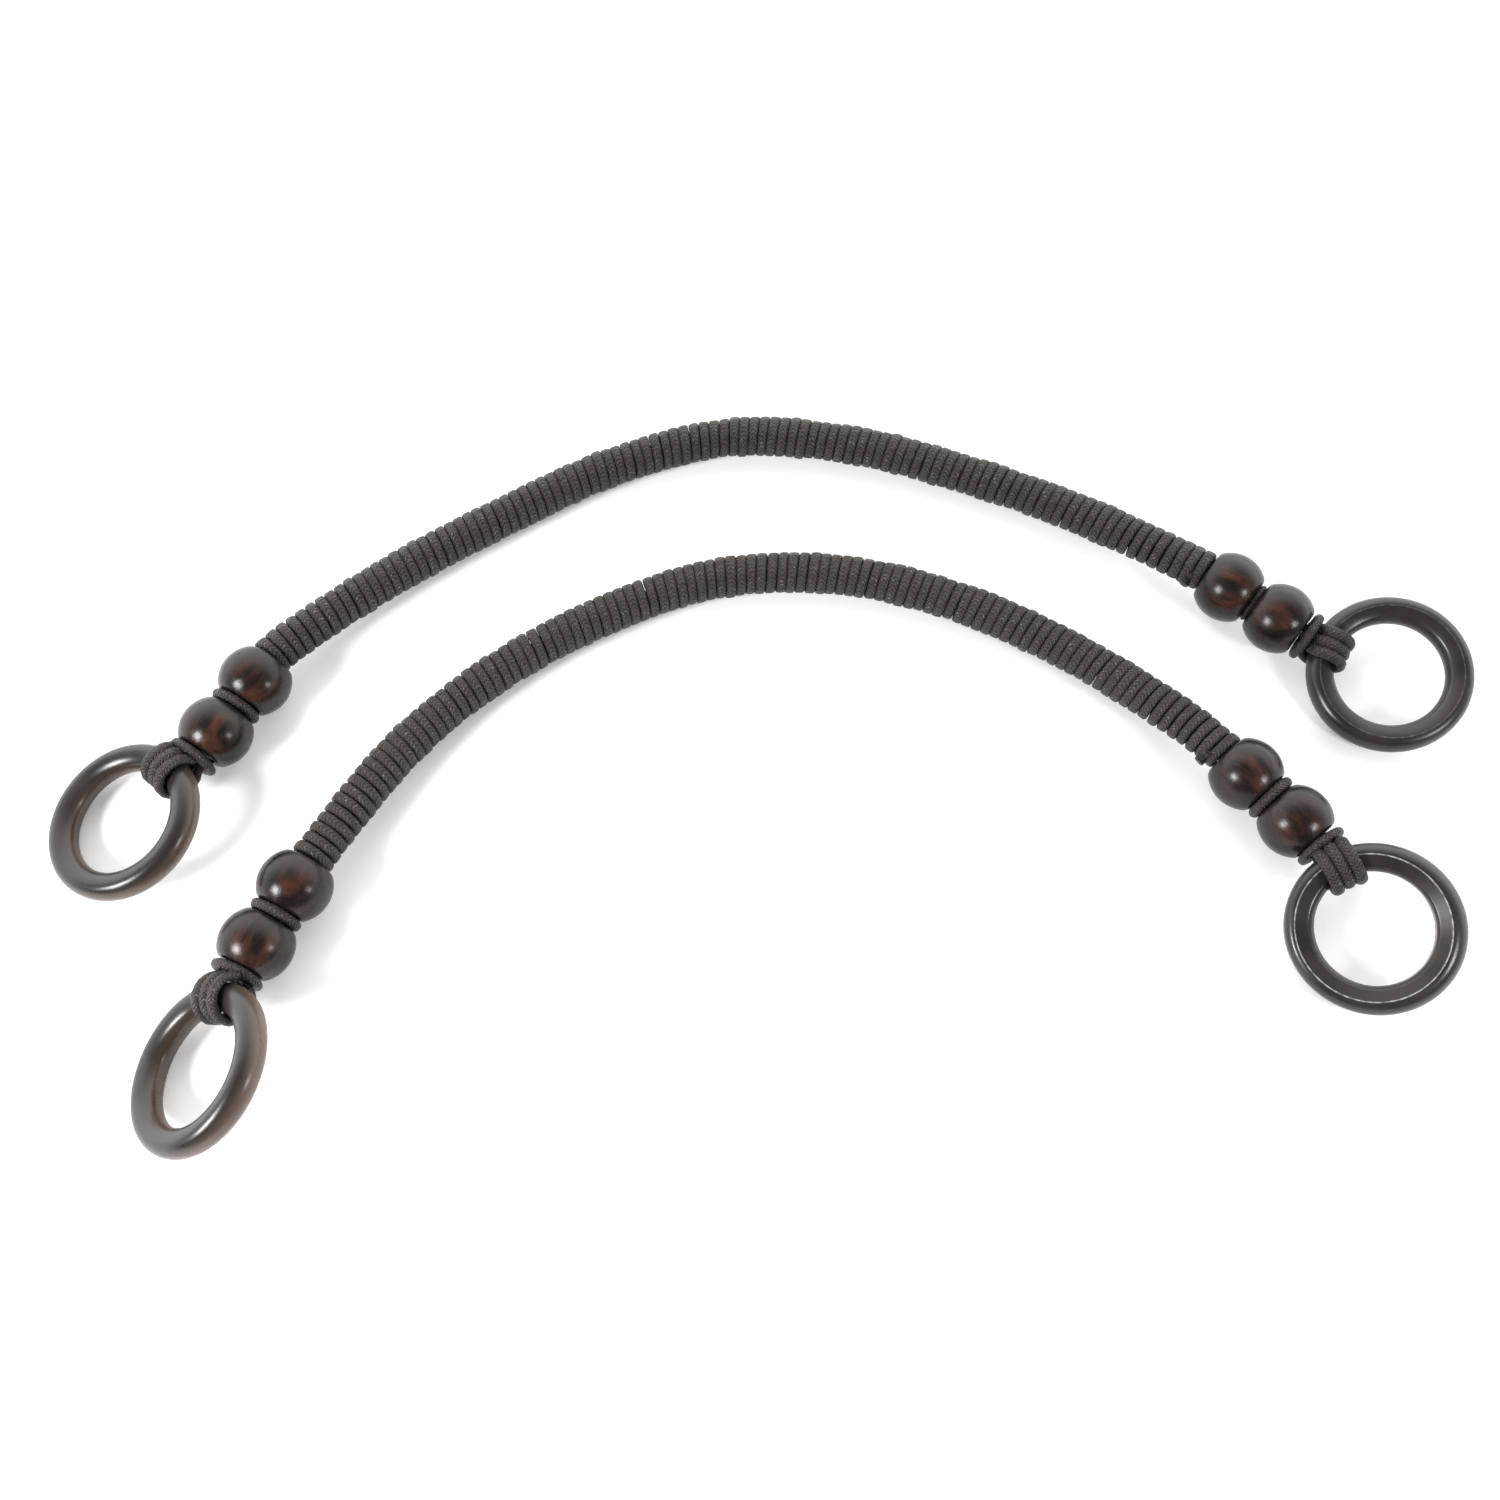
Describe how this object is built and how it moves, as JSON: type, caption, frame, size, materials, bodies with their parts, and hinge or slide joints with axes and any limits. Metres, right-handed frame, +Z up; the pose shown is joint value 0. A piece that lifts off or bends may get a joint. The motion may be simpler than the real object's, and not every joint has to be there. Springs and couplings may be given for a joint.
{
  "type": "bag handles",
  "caption": "Matched arched bag handles of waxed cord wound on a cord core, with round wooden beads, cord collars and a corded-on wooden ring at each end.",
  "frame": {"origin": "on the ground under the middle of the laid-out pair's bounding box", "axes": "+X to the right along the handles, +Y from the front handle to the back one, +Z up"},
  "size_m": [0.3944, 0.2228, 0.0289],
  "materials": {
    "ring_wood": "satin lacquer over a near-black brown stain",
    "bead_wood": "satin lacquer over a dark red-brown stain",
    "wound_cord": "waxed braided cotton cord, dark warm grey",
    "core_cord": "waxed braided cotton cord, dark warm grey"
  },
  "bodies": {
    "front_grip_1": {"front_grip_winding_1": "wound_cord", "front_grip_core_1": "core_cord", "front_left_cord_bundle": "core_cord", "front_left_mid_collar": "wound_cord"},
    "front_grip_2": {"front_grip_winding_2": "wound_cord", "front_grip_core_2": "core_cord"},
    "front_grip_3": {"front_grip_winding_3": "wound_cord", "front_grip_core_3": "core_cord"},
    "front_grip_4": {"front_grip_winding_4": "wound_cord", "front_grip_core_4": "core_cord"},
    "front_grip_5": {"front_grip_winding_5": "wound_cord", "front_grip_core_5": "core_cord", "front_right_cord_bundle": "core_cord", "front_right_mid_collar": "wound_cord"},
    "back_grip_1": {"back_grip_winding_1": "wound_cord", "back_grip_core_1": "core_cord", "back_left_cord_bundle": "core_cord", "back_left_mid_collar": "wound_cord"},
    "back_grip_2": {"back_grip_winding_2": "wound_cord", "back_grip_core_2": "core_cord"},
    "back_grip_3": {"back_grip_winding_3": "wound_cord", "back_grip_core_3": "core_cord"},
    "back_grip_4": {"back_grip_winding_4": "wound_cord", "back_grip_core_4": "core_cord"},
    "back_grip_5": {"back_grip_winding_5": "wound_cord", "back_grip_core_5": "core_cord", "back_right_cord_bundle": "core_cord", "back_right_mid_collar": "wound_cord"},
    "front_left_inner_bead": {"front_left_inner_bead": "bead_wood"},
    "front_left_outer_bead": {"front_left_outer_bead": "bead_wood"},
    "front_left_neck": {"front_left_neck_collar": "wound_cord", "front_left_strand_1": "wound_cord", "front_left_strand_2": "wound_cord", "front_left_strand_3": "wound_cord"},
    "front_left_ring": {"front_left_ring": "ring_wood"},
    "front_right_inner_bead": {"front_right_inner_bead": "bead_wood"},
    "front_right_outer_bead": {"front_right_outer_bead": "bead_wood"},
    "front_right_neck": {"front_right_neck_collar": "wound_cord", "front_right_strand_1": "wound_cord", "front_right_strand_2": "wound_cord", "front_right_strand_3": "wound_cord"},
    "front_right_ring": {"front_right_ring": "ring_wood"},
    "back_left_inner_bead": {"back_left_inner_bead": "bead_wood"},
    "back_left_outer_bead": {"back_left_outer_bead": "bead_wood"},
    "back_left_neck": {"back_left_neck_collar": "wound_cord", "back_left_strand_1": "wound_cord", "back_left_strand_2": "wound_cord", "back_left_strand_3": "wound_cord"},
    "back_left_ring": {"back_left_ring": "ring_wood"},
    "back_right_inner_bead": {"back_right_inner_bead": "bead_wood"},
    "back_right_outer_bead": {"back_right_outer_bead": "bead_wood"},
    "back_right_neck": {"back_right_neck_collar": "wound_cord", "back_right_strand_1": "wound_cord", "back_right_strand_2": "wound_cord", "back_right_strand_3": "wound_cord"},
    "back_right_ring": {"back_right_ring": "ring_wood"}
  },
  "joints": [
    {"name": "back_handle_shift", "type": "slide", "parent": "front_grip_3", "child": "back_grip_3", "axis": [0, 1, 0], "range_m": [0, 0.1]},
    {"name": "front_grip_flex_2", "type": "hinge", "parent": "front_grip_3", "child": "front_grip_2", "pos_m": [-0.03724, 0.04868, 0.00598], "axis": [0, 0, 1], "range_deg": [-3, 20]},
    {"name": "front_grip_flex_1", "type": "hinge", "parent": "front_grip_2", "child": "front_grip_1", "pos_m": [-0.08801, 0.01646, 0.00669], "axis": [0, 0, 1], "range_deg": [-3, 20]},
    {"name": "front_grip_flex_3", "type": "hinge", "parent": "front_grip_3", "child": "front_grip_4", "pos_m": [0.02183, 0.05691, 0.006], "axis": [0, 0, -1], "range_deg": [-3, 20]},
    {"name": "front_grip_flex_4", "type": "hinge", "parent": "front_grip_4", "child": "front_grip_5", "pos_m": [0.07827, 0.03642, 0.00622], "axis": [0, 0, -1], "range_deg": [-3, 20]},
    {"name": "front_left_inner_bead_spin", "type": "hinge", "parent": "front_grip_1", "child": "front_left_inner_bead", "pos_m": [-0.12678, -0.0396, 0.01], "axis": [-0.454, -0.891, 0], "continuous": true},
    {"name": "front_left_outer_bead_spin", "type": "hinge", "parent": "front_grip_1", "child": "front_left_outer_bead", "pos_m": [-0.13495, -0.05564, 0.01], "axis": [-0.454, -0.891, 0], "continuous": true},
    {"name": "front_left_neck_twist", "type": "hinge", "parent": "front_grip_1", "child": "front_left_neck", "pos_m": [-0.13859, -0.06403, 0.01102], "axis": [-0.3961, -0.9116, 0.1103], "range_deg": [-50, 50]},
    {"name": "front_left_ring_swing", "type": "hinge", "parent": "front_left_neck", "child": "front_left_ring", "pos_m": [-0.13989, -0.07083, 0.01452], "axis": [0.8122, -0.1699, 0.558], "range_deg": [-80, 80]},
    {"name": "front_right_inner_bead_spin", "type": "hinge", "parent": "front_grip_5", "child": "front_right_inner_bead", "pos_m": [0.13022, -0.0076, 0.01], "axis": [0.6428, -0.766, 0], "continuous": true},
    {"name": "front_right_outer_bead_spin", "type": "hinge", "parent": "front_grip_5", "child": "front_right_outer_bead", "pos_m": [0.14179, -0.02139, 0.01], "axis": [0.6428, -0.766, 0], "continuous": true},
    {"name": "front_right_neck_twist", "type": "hinge", "parent": "front_grip_5", "child": "front_right_neck", "pos_m": [0.14729, -0.02873, 0.01073], "axis": [0.5977, -0.7978, 0.0798], "range_deg": [-50, 50]},
    {"name": "front_right_ring_swing", "type": "hinge", "parent": "front_right_neck", "child": "front_right_ring", "pos_m": [0.15021, -0.03486, 0.01321], "axis": [0.8666, 0.3577, 0.3478], "range_deg": [-80, 80]},
    {"name": "back_grip_flex_2", "type": "hinge", "parent": "back_grip_3", "child": "back_grip_2", "pos_m": [-0.04265, 0.09649, 0.00599], "axis": [0, 0, 1], "range_deg": [-18, 3]},
    {"name": "back_grip_flex_1", "type": "hinge", "parent": "back_grip_2", "child": "back_grip_1", "pos_m": [-0.09521, 0.06664, 0.00686], "axis": [0, 0, 1], "range_deg": [-18, 3]},
    {"name": "back_grip_flex_3", "type": "hinge", "parent": "back_grip_3", "child": "back_grip_4", "pos_m": [0.0165, 0.10388, 0.006], "axis": [0, 0, -1], "range_deg": [-18, 3]},
    {"name": "back_grip_flex_4", "type": "hinge", "parent": "back_grip_4", "child": "back_grip_5", "pos_m": [0.07413, 0.0859, 0.00636], "axis": [0, 0, -1], "range_deg": [-18, 3]},
    {"name": "back_left_inner_bead_spin", "type": "hinge", "parent": "back_grip_1", "child": "back_left_inner_bead", "pos_m": [-0.14508, 0.0207, 0.01], "axis": [-0.4924, -0.8704, 0], "continuous": true},
    {"name": "back_left_outer_bead_spin", "type": "hinge", "parent": "back_grip_1", "child": "back_left_outer_bead", "pos_m": [-0.15394, 0.00503, 0.01], "axis": [-0.4924, -0.8704, 0], "continuous": true},
    {"name": "back_left_neck_twist", "type": "hinge", "parent": "back_grip_1", "child": "back_left_neck", "pos_m": [-0.15893, -0.00268, 0.01052], "axis": [-0.542, -0.8385, 0.0568], "range_deg": [-50, 50]},
    {"name": "back_left_ring_swing", "type": "hinge", "parent": "back_left_neck", "child": "back_left_ring", "pos_m": [-0.16345, -0.00714, 0.0122], "axis": [0.7131, -0.6676, 0.2139], "range_deg": [-80, 80]},
    {"name": "back_right_inner_bead_spin", "type": "hinge", "parent": "back_grip_5", "child": "back_right_inner_bead", "pos_m": [0.13282, 0.0507, 0.01], "axis": [0.7826, -0.6225, 0], "continuous": true},
    {"name": "back_right_outer_bead_spin", "type": "hinge", "parent": "back_grip_5", "child": "back_right_outer_bead", "pos_m": [0.14566, 0.04049, 0.01], "axis": [0.7826, -0.6225, 0], "continuous": true},
    {"name": "back_right_neck_twist", "type": "hinge", "parent": "back_grip_5", "child": "back_right_neck", "pos_m": [0.15308, 0.03507, 0.0095], "axis": [0.8066, -0.5885, -0.0545], "range_deg": [-50, 50]},
    {"name": "back_right_ring_swing", "type": "hinge", "parent": "back_right_neck", "child": "back_right_ring", "pos_m": [0.15861, 0.03224, 0.0079], "axis": [0.4485, 0.8562, 0.2565], "range_deg": [-80, 80]}
  ],
  "couplings": [
    {"joint": "front_grip_flex_1", "follows": "front_grip_flex_2", "ratio": 1},
    {"joint": "front_grip_flex_3", "follows": "front_grip_flex_2", "ratio": 1},
    {"joint": "front_grip_flex_4", "follows": "front_grip_flex_2", "ratio": 1},
    {"joint": "back_grip_flex_1", "follows": "back_grip_flex_2", "ratio": 1},
    {"joint": "back_grip_flex_3", "follows": "back_grip_flex_2", "ratio": 1},
    {"joint": "back_grip_flex_4", "follows": "back_grip_flex_2", "ratio": 1}
  ]
}
